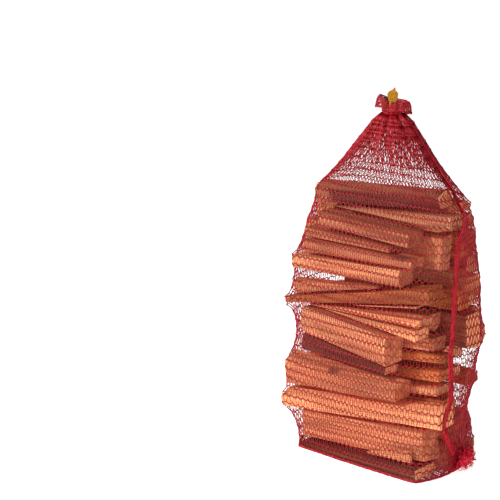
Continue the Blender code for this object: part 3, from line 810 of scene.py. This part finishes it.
def makeFootEdge():
    chance = np.random.default_rng(footEdge["seed"])
    outs = rowOutward(0)
    groups = []
    for level, lift, radius in footEdge["strands"]:
        path = np.column_stack([netSpots[0], np.full(columns, level * mm)]) + outs * lift * mm
        sway = chance.uniform(-footEdge["sway"], footEdge["sway"], columns) * mm
        path[:, 2] = np.maximum(path[:, 2] + sway, radius * mm)
        groups.append(closedStrand(path, outs, radius * mm, footEdge["sides"]))
    dress(joinStrands("net_foot_edge", groups), chainRed, "net_red")


netBands = ("net_low", "net_middle", "net_high", "net_cone")


def makeNet():
    chance = np.random.default_rng(strandLook["seed"])
    jitters = {row: chance.uniform(-1, 1, columns) for row in range(0, len(netHeights) + 2, 2)}
    faceCount = 0
    for name, rows in zip(netBands, np.array_split(np.arange(0, len(netHeights) - 2, 2), len(netBands))):
        groups = []
        for row in rows:
            groups.append(chainStrand(row, jitters[row]))
            groups.append(laceStrand(row, jitters[row], jitters[row + 2]))
        thing = joinStrands(name, groups)
        dress(thing, chainRed, "net_red", *(("net_bag",) if name == "net_low" else ()))
        faceCount += len(thing.data.polygons)
    return faceCount


print("net knitted:", makeNet(), "faces")
makeFoot()
makeFootEdge()
print("foot made")


# The side seam: strands that wander in a band up the net, with stitches across them

seamLook = {
    "strands": 16,
    "radius": 0.58 * mm,
    "sides": 5,
    "halfWidth": 4.2 * mm,
    "halfDepth": 0.8 * mm,
    "step": 3.0 * mm,
    "near": 4 * mm,  # how far round a spot the CAD seam and the net count
    "lift": 1.1 * mm,
    "sidePace": 22,
    "deepPace": 30,
    "wander": 1.6,
    "apart": (7.31, 1.7),  # the strands' places in the noise
    "narrowFrom": 330 * mm,  # it narrows towards the neck
    "narrowOver": 110 * mm,
    "narrowShare": 0.3,
    "wideAt": 116 * mm,  # it is pulled wider where the net turns into the hollow there
    "wideOver": 16 * mm,
    "wideShare": 0.6,
    "stitchWidth": 4.7 * mm,
    "stitchRadius": 0.5 * mm,
    "stitchSides": 4,
    "stitchLift": 0.9,
    "stitchSwing": 0.3,
}


# A line on the net beside a cloud of CAD points, going up, with the directions out of the net
def lineOnNet(points, step, lift):
    spots, outs = [], []
    for level in np.arange(points[:, 2].min() + step, points[:, 2].max() - step, step):
        weight = np.exp(-(((points[:, 2] - level) / seamLook["near"]) ** 2))
        middle = (points * weight[:, None]).sum(0) / weight.sum()
        low, part = rowBelow((level - netHeights[0]) / subPitch)
        ring = netSpots[low] * (1 - part) + netSpots[low + 1] * part
        away = np.linalg.norm(ring - middle[:2], axis=1)
        near = np.exp(-((away / seamLook["near"]) ** 2)) + 1e-12
        near /= near.sum()
        out = near @ rowOutward(low)
        spots.append(np.array([*(near @ ring), level]) + out * lift)
        outs.append(out / np.linalg.norm(out))
    return np.array(spots), np.array(outs)


# A smooth run of numbers from -1 to 1 along a line
def wander(line, seed, pace):
    across, deep = seamLook["apart"]
    run = [noise.noise(Vector((height * pace, seed * across, seed * deep))) for height in line[:, 2]]
    return (np.array(run) * seamLook["wander"]).clip(-1, 1)


def makeSeam():
    look = seamLook
    line, outs = lineOnNet(cornersOf(frame["nodes"]["side_seam"]), look["step"], look["lift"])
    evenOut(line)
    evenOut(line)
    across = unit(np.cross(unit(np.gradient(line, axis=0)), outs))
    up = line[:, 2]
    narrow = np.clip((up - look["narrowFrom"]) / look["narrowOver"], 0, 1)
    wide = np.exp(-(((up - look["wideAt"]) / look["wideOver"]) ** 2))
    half = look["halfWidth"] * (1 - look["narrowShare"] * narrow) * (1 + look["wideShare"] * wide)
    paths = []
    for seed in range(look["strands"]):
        side = wander(line, seed + 1, look["sidePace"]) * half
        deep = wander(line, seed + 40, look["deepPace"]) * look["halfDepth"]
        paths.append(line + across * side[:, None] + outs * deep[:, None])
    spread = np.broadcast_to(outs, (len(paths), *outs.shape))
    groups = [strands(paths, spread, look["radius"], look["sides"])]
    for phase in (0, 1):
        sign = np.where((np.arange(len(line)) + phase) % 2 == 0, 1.0, -1.0)
        reach = sign * half / look["halfWidth"] * look["stitchWidth"]
        lift = (look["stitchLift"] + look["stitchSwing"] * sign[:, None]) * mm
        stitch = line + across * reach[:, None] + outs * lift
        groups.append(strands([stitch], [outs], look["stitchRadius"], look["stitchSides"]))
    dress(joinStrands("seam_strands", groups), seamRed, "net_red", "side_seam")


makeSeam()
print("seam made")


# The tuft: a lump of net with loops that stick out of it

tuftLook = {
    "seed": 5,
    "core": 0.70,  # the lump's share of the CAD tuft's size
    "lumps": ((0.22, 2.3), (0.14, 7.0)),  # height and pace
    "coreFloor": 0.6 * mm,
    "loops": 110,
    "radius": 0.45 * mm,
    "sides": 4,
    "points": 15,
    "reach": 1.24,
    "lengths": (0.75, 1.0),
    "leastWay": (-0.1, -1, -0.8),  # few loops go into the sack or into the floor
    "root": 0.5,  # how far towards the sack the loops start, as a share of the half size
    "twist": (1.0, 3.2),
    "ragged": 0.25 * mm,
    "loopFloor": 1.0 * mm,
}


def makeTuft():
    look = tuftLook
    chance = np.random.default_rng(look["seed"])
    points = pointsOf(frame["nodes"]["net_tuft"])
    low, high = points.min(0), points.max(0)
    centre, half = (low + high) / 2, (high - low) / 2
    deselectAll()
    bpy.ops.mesh.primitive_ico_sphere_add(subdivisions=4, radius=1.0, location=(0, 0, 0))
    core = bpy.context.object
    core.name = "tuft_core"
    for vertex in core.data.vertices:
        lump = 1 + sum(rise * noise.noise(vertex.co * pace) for rise, pace in look["lumps"])
        at = centre + np.array(vertex.co) * half * look["core"] * lump
        vertex.co = Vector((at[0], at[1], max(at[2], look["coreFloor"])))
    core.data.shade_smooth()
    dress(core, tuftRed, "net_red", "net_tuft")
    root = np.array([half[0] * look["root"], 0, 0])
    anchor = centre - root
    share = np.linspace(0, 1, look["points"])
    paths = []
    for _ in range(look["loops"]):
        way = unit(np.array([chance.uniform(least, 1) for least in look["leastWay"]]))
        side = unit(np.cross(way, chance.normal(size=3)))
        length = look["reach"] * chance.uniform(*look["lengths"]) * (half + root)
        path = anchor + way * length * np.sin(np.pi * share)[:, None] ** 0.8
        path += side * np.sin(2 * np.pi * share)[:, None] * chance.uniform(*look["twist"]) * mm
        path += chance.normal(size=path.shape) * look["ragged"]
        path[:, 2] = np.maximum(path[:, 2], look["loopFloor"])
        paths.append(path)
    outs = np.array(paths) - anchor + 1e-5
    loops = joinStrands("tuft_loops", [strands(paths, outs, look["radius"], look["sides"])])
    dress(loops, tuftRed, "net_red")


makeTuft()


# The net round the tuft lies in folds that run towards it. Distances are in mm

foldLook = {
    "seed": 14,
    "count": 76,
    "radius": 0.55 * mm,
    "taper": (1.25, 0.5),
    "sides": 4,
    "points": 12,
    "directions": (-2.4, 1.5),  # from straight up, negative towards the front
    "from": 4,
    "reach": (24, 58),
    "alongFloor": 42,  # how much further the folds beside the floor reach
    "floorTurn": -1.6,
    "floorOver": 0.4,
    "lowest": 2.0,
    "columnWidth": 3.4,
    "lift": 0.9,
    "ripple": 0.5,
    "ripplePace": 1.3,
}


def makeFolds():
    look = foldLook
    chance = np.random.default_rng(look["seed"])
    centre = pointsOf(frame["nodes"]["net_tuft"]).mean(0)
    home = np.argmin(np.linalg.norm(netSpots[1] - centre[:2], axis=1))
    last = look["points"] - 1
    paths, outs = [], []
    for _ in range(look["count"]):
        turn = chance.uniform(*look["directions"])
        reach = chance.uniform(*look["reach"])
        beside = (turn - look["floorTurn"]) / look["floorOver"]
        reach += look["alongFloor"] * math.exp(-(beside ** 2))
        path, way = [], []
        for k in range(look["points"]):
            far = look["from"] + reach * k / last
            height = max(centre[2] / mm + math.cos(turn) * far, look["lowest"])
            row = (height * mm - netHeights[0]) / subPitch
            column = home + math.sin(turn) * far / look["columnWidth"]
            out = rowOutward(rowBelow(row)[0])[round(column) % columns]
            lift = (look["lift"] + look["ripple"] * math.sin(k * look["ripplePace"] + turn * 5)) * mm
            path.append(netPoint(row, column) + out * lift)
            way.append(out)
        paths.append(path)
        outs.append(way)
    taper = np.linspace(*look["taper"], look["points"])[None] * look["radius"]
    radii = np.repeat(taper, len(paths), 0)
    folds = joinStrands("tuft_folds", [strands(paths, outs, radii, look["sides"])])
    dress(folds, chainRed, "net_red")


makeFolds()
print("tuft made")


# The neck and the ruffle above it. Directions as the photo's camera sees them: right, towards it and up

cameraTurn = math.radians(36)  # how far round from the front the photo was taken
sideways = np.array([math.cos(cameraTurn), math.sin(cameraTurn), 0.0])
towards = np.array([math.sin(cameraTurn), -math.cos(cameraTurn), 0.0])

ruffleLook = {
    "seed": 8,
    "throat": 13.2 * mm,
    "level": 464 * mm,
    "meridians": 130,
    "steps": 16,
    "radius": 0.5 * mm,
    "sides": 4,
    "zigzag": 0.022,
    "far": (14, 8.8, 7.0, 1.5),  # mm all round, and what the right, the left and the front add
    "rise": (15, -2, 7.5, -1),
    "fall": (3, 12.5, 13, 3),
    "bend": (0.85, 0.8),  # all round, and what the left adds: it stands up first and then hooks over
    "risen": 0.55,  # share of the way to the hem
    "fallFrom": 0.42,
    "folds": ((1, 9, 0.6), (0.5, 15.3, 0)),  # share of the depth, number and phase
    "foldDepth": 0.9 * mm,
    "foldAtThroat": 0.4,
    "sheerLeft": -0.55,  # every second strand is left out beyond this cosine
    "rings": ((0.2, 0.7), (0.45, 0.7), (0.7, 0.7), (0.98, 0.95)),  # share of the way to the hem, radius in mm
    "ringPoints": 240,
    "ringZigzag": 0.03,
}


# The direction at a turn from the right as the camera sees it
def wayRound(turn):
    return sideways * math.cos(turn) + towards * math.sin(turn)


# A point of the ruffle, share of the way from the throat to the hem
def rufflePoint(turn, share):
    look = ruffleLook
    left = max(-math.cos(turn), 0) ** 2
    parts = (1, max(math.cos(turn), 0) ** 1.4, left, max(math.sin(turn), 0) ** 2)
    far, rise, fall = (float(np.dot(parts, look[part])) * mm for part in ("far", "rise", "fall"))
    bend = look["bend"][0] + look["bend"][1] * left
    fold = sum(depth * math.sin(number * turn + phase) for depth, number, phase in look["folds"])
    away = look["throat"] + (far - look["throat"]) * math.sin(math.pi / 2 * share ** bend)
    away += fold * look["foldDepth"] * (look["foldAtThroat"] + share)
    up = rise * math.sin(math.pi / 2 * min(share / look["risen"], 1.0))
    up -= fall * (max(share - look["fallFrom"], 0.0) / (1 - look["fallFrom"])) ** 1.5
    return np.array([*netAxis[:2], look["level"] + up]) + wayRound(turn) * away


def makeRuffle():
    look = ruffleLook
    chance = np.random.default_rng(look["seed"])
    shares = np.linspace(0, 1, look["steps"])
    sides = look["sides"]
    paths, outs = [], []
    for i in range(look["meridians"]):
        turn = 2 * math.pi * (i + chance.uniform(-0.3, 0.3)) / look["meridians"]
        if math.cos(turn) < look["sheerLeft"] and i % 2:
            continue
        paths.append([rufflePoint(turn + look["zigzag"] * (-1) ** k, share) for k, share in enumerate(shares)])
        outs.append(np.tile(wayRound(turn) + [0, 0, 0.4], (len(shares), 1)))
    groups = [strands(paths, outs, look["radius"], sides)]
    turns = turnsRound(look["ringPoints"])
    ring = [wayRound(turn) for turn in turns]
    for share, radius in look["rings"]:
        path = [rufflePoint(turn, share + look["ringZigzag"] * (-1) ** k) for k, turn in enumerate(turns)]
        groups.append(closedStrand(path, ring, radius * mm, sides))
    dress(joinStrands("net_ruffle", groups), chainRed, "net_red")


# The bunched net inside the neck
neckCore = {
    "from": 452 * mm,
    "rows": 12,
    "rowHeight": 2.2 * mm,
    "points": 240,
    "radius": 11.2,
    "folds": ((0.9, 11, 0.25), (0.5, 23, 0.0)),  # depth in mm, number, and turn from row to row
    "narrowFrom": 8,  # the rows above this one narrow
    "narrowShare": 0.25,
}


def makeNeckCore():
    look = neckCore
    rows, count = look["rows"], look["points"]
    points, faces = [], tubeFaces(rows, count)
    for row in range(rows):
        above = max(row - look["narrowFrom"], 0) / (rows - 1 - look["narrowFrom"])
        for turn in turnsRound(count):
            away = look["radius"]
            away += sum(depth * math.sin(number * turn + row * lean) for depth, number, lean in look["folds"])
            away *= (1 - look["narrowShare"] * above) * mm
            height = look["from"] + row * look["rowHeight"]
            points.append([netAxis[0] + away * math.cos(turn), netAxis[1] + away * math.sin(turn), height])
    faces += [tuple(range(count))[::-1], tuple(range((rows - 1) * count, rows * count))]
    dress(addMesh("neck_core", points, faces), seamRed, "net_red")


makeRuffle()
makeNeckCore()
print("ruffle made")


# The drawstring: a ring of tape sunk into the neck, and the folded end that stands out of the ruffle

tapeLook = {
    "colour": (0.34, 0.145, 0.004),
    "shades": (0.7, 1.3),
    "weave": 700.0,
    "tones": (0.35, 0.7),
    "rough": 0.7,
    "gloss": 0.2,
    "ringRadius": 9.2 * mm,
    "ringLevel": 464.5 * mm,
    "ringThick": 1.15 * mm,
    "ringPoints": 180,
    "ringSides": 8,
    "ringSway": 0.5 * mm,
    "thickness": 0.45 * mm,
    "bandPoints": 22,
    "bandTurn": 0.25,  # how far the band's face turns to the right
    "sharpAngle": 40,
    # right, towards the camera, up and width in mm of the folded end, from the neck's middle at its level
    "fold": ((-1.6, 9.4, 0.4, 2.6), (-3.2, 13.4, 6.6, 1.2), (-3.6, 17.2, 11.0, 0.8),
             (-3.2, 18.4, 15.2, 3.2), (-3.2, 18.4, 19.4, 6.6), (-2.4, 17.4, 23.4, 11.6),
             (0.2, 16.0, 26.8, 7.6), (1.6, 15.2, 29.6, 3.8), (2.7, 15, 32.6, 1.0)),
    "back": ((0.4, 9.4, 0.4, 2.6), (0.6, 13.0, 7, 1.4), (1.0, 15.0, 14, 4.4),
             (3.2, 14.6, 20, 6.5), (4.6, 14.2, 24, 5.0), (4.0, 14.0, 27.6, 2.0)),
}


def tapeMaterial():
    material, tree, shader = newMaterial("drawstring_tape", tapeLook["rough"], tapeLook["gloss"])
    deep, bright = ([part * shade for part in tapeLook["colour"]] for shade in tapeLook["shades"])
    weave = objectNoise(tree, tapeLook["weave"], 2.0)
    tone = addRamp(tree, (-500, 0), weave, tapeLook["tones"], (deep, bright))
    tree.links.new(tone, shader.inputs["Base Color"])
    return material


# A closed flat band through stations of right, towards the camera, up and width
def band(stations):
    stations = np.array(stations, float)
    count = tapeLook["bandPoints"]
    at = np.linspace(0, len(stations) - 1, count)
    line = np.array([np.interp(at, np.arange(len(stations)), values) for values in stations.T]).T
    evenOut(line)
    axes = np.array([sideways, towards, [0.0, 0.0, 1.0]])
    middle = np.array([*netAxis[:2], tapeLook["ringLevel"]]) + line[:, :3] @ axes * mm
    ahead = unit(np.gradient(middle, axis=0))
    across = unit(np.cross(ahead, towards + sideways * tapeLook["bandTurn"]))
    up = np.cross(across, ahead) * tapeLook["thickness"] / 2
    across = across * line[:, 3:] * mm / 2
    points = np.stack([middle + across + up, middle - across + up,
                       middle - across - up, middle + across - up], 1)
    ends = [(0, 1, 2, 3), tuple(4 * count - 4 + i for i in (3, 2, 1, 0))]
    return points.reshape(-1, 3), ends + tubeFaces(count, 4)


def makeDrawstring():
    look = tapeLook
    turns = turnsRound(look["ringPoints"])
    outs = np.column_stack([np.cos(turns), np.sin(turns), np.zeros(len(turns))])
    ring = np.array([*netAxis[:2], look["ringLevel"]]) + look["ringRadius"] * outs
    ring[:, 2] += np.sin(turns * 3) * look["ringSway"]
    groups = [closedStrand(ring, outs, look["ringThick"], look["ringSides"]),
              band(look["fold"]), band(look["back"])]
    thing = joinStrands("drawstring_tape", groups)
    faceOutward(thing, look["sharpAngle"])
    dress(thing, tapeMaterial(), "string_yellow", "drawstring")


makeDrawstring()
print("drawstring made")


# Camera, floor and light

cameraView = {
    "foot": (-0.01466, 0.00991),  # the point that its distance is measured from
    "distance": 2.2,
    "height": 0.845,
    "pitch": 14.6,
    "turnLeft": 4.63,
    "lens": 122.98,
}

floorLook = {"size": 60, "colour": (0.95, 0.95, 0.95, 1), "rough": 0.9, "gloss": 0.1, "glow": 0.72}

lamps = {
    "key": {"spot": (-0.9, -1.9, 1.5), "aim": (0, 0, 0.2), "size": 0.45, "power": 72},
    "fill": {"spot": (2.2, -1.2, 0.9), "aim": (0, 0, 0.2), "size": 1.4, "power": 27},
}

skyStrength = 0.32


def addCamera():
    look = cameraView
    data = bpy.data.cameras.new("camera")
    data.lens = look["lens"]
    camera = addThing("camera", data)
    camera.location = (*(look["foot"] + look["distance"] * towards[:2]), look["height"])
    camera.rotation_euler = (math.radians(90 - look["pitch"]), 0.0, cameraTurn + math.radians(look["turnLeft"]))
    bpy.context.scene.camera = camera


def addFloor():
    look = floorLook
    deselectAll()
    bpy.ops.mesh.primitive_plane_add(size=look["size"], location=(0, 0, 0))
    floor = bpy.context.object
    floor.name = "floor"
    material, _, shader = newMaterial("floor_white", look["rough"], look["gloss"])
    shader.inputs["Base Color"].default_value = look["colour"]
    shader.inputs["Emission Color"].default_value = (1, 1, 1, 1)
    shader.inputs["Emission Strength"].default_value = look["glow"]
    floor.data.materials.append(material)


def addLamp(name, spot, aim, size, power):
    data = bpy.data.lights.new(name, "AREA")
    data.shape = "DISK"
    data.size, data.energy = size, power
    lamp = addThing(name, data)
    lamp.location = spot
    lamp.rotation_euler = (Vector(aim) - Vector(spot)).to_track_quat("-Z", "Y").to_euler()


def addSky():
    world = bpy.data.worlds.new("studio")
    bpy.context.scene.world = world
    world.use_nodes = True
    background = world.node_tree.nodes["Background"]
    background.inputs["Color"].default_value = (1, 1, 1, 1)
    background.inputs["Strength"].default_value = skyStrength


addCamera()
addFloor()
for lampName, lampLook in lamps.items():
    addLamp(lampName, **lampLook)
addSky()
bpy.context.scene.view_settings.view_transform = "Standard"
print("camera and lights placed")
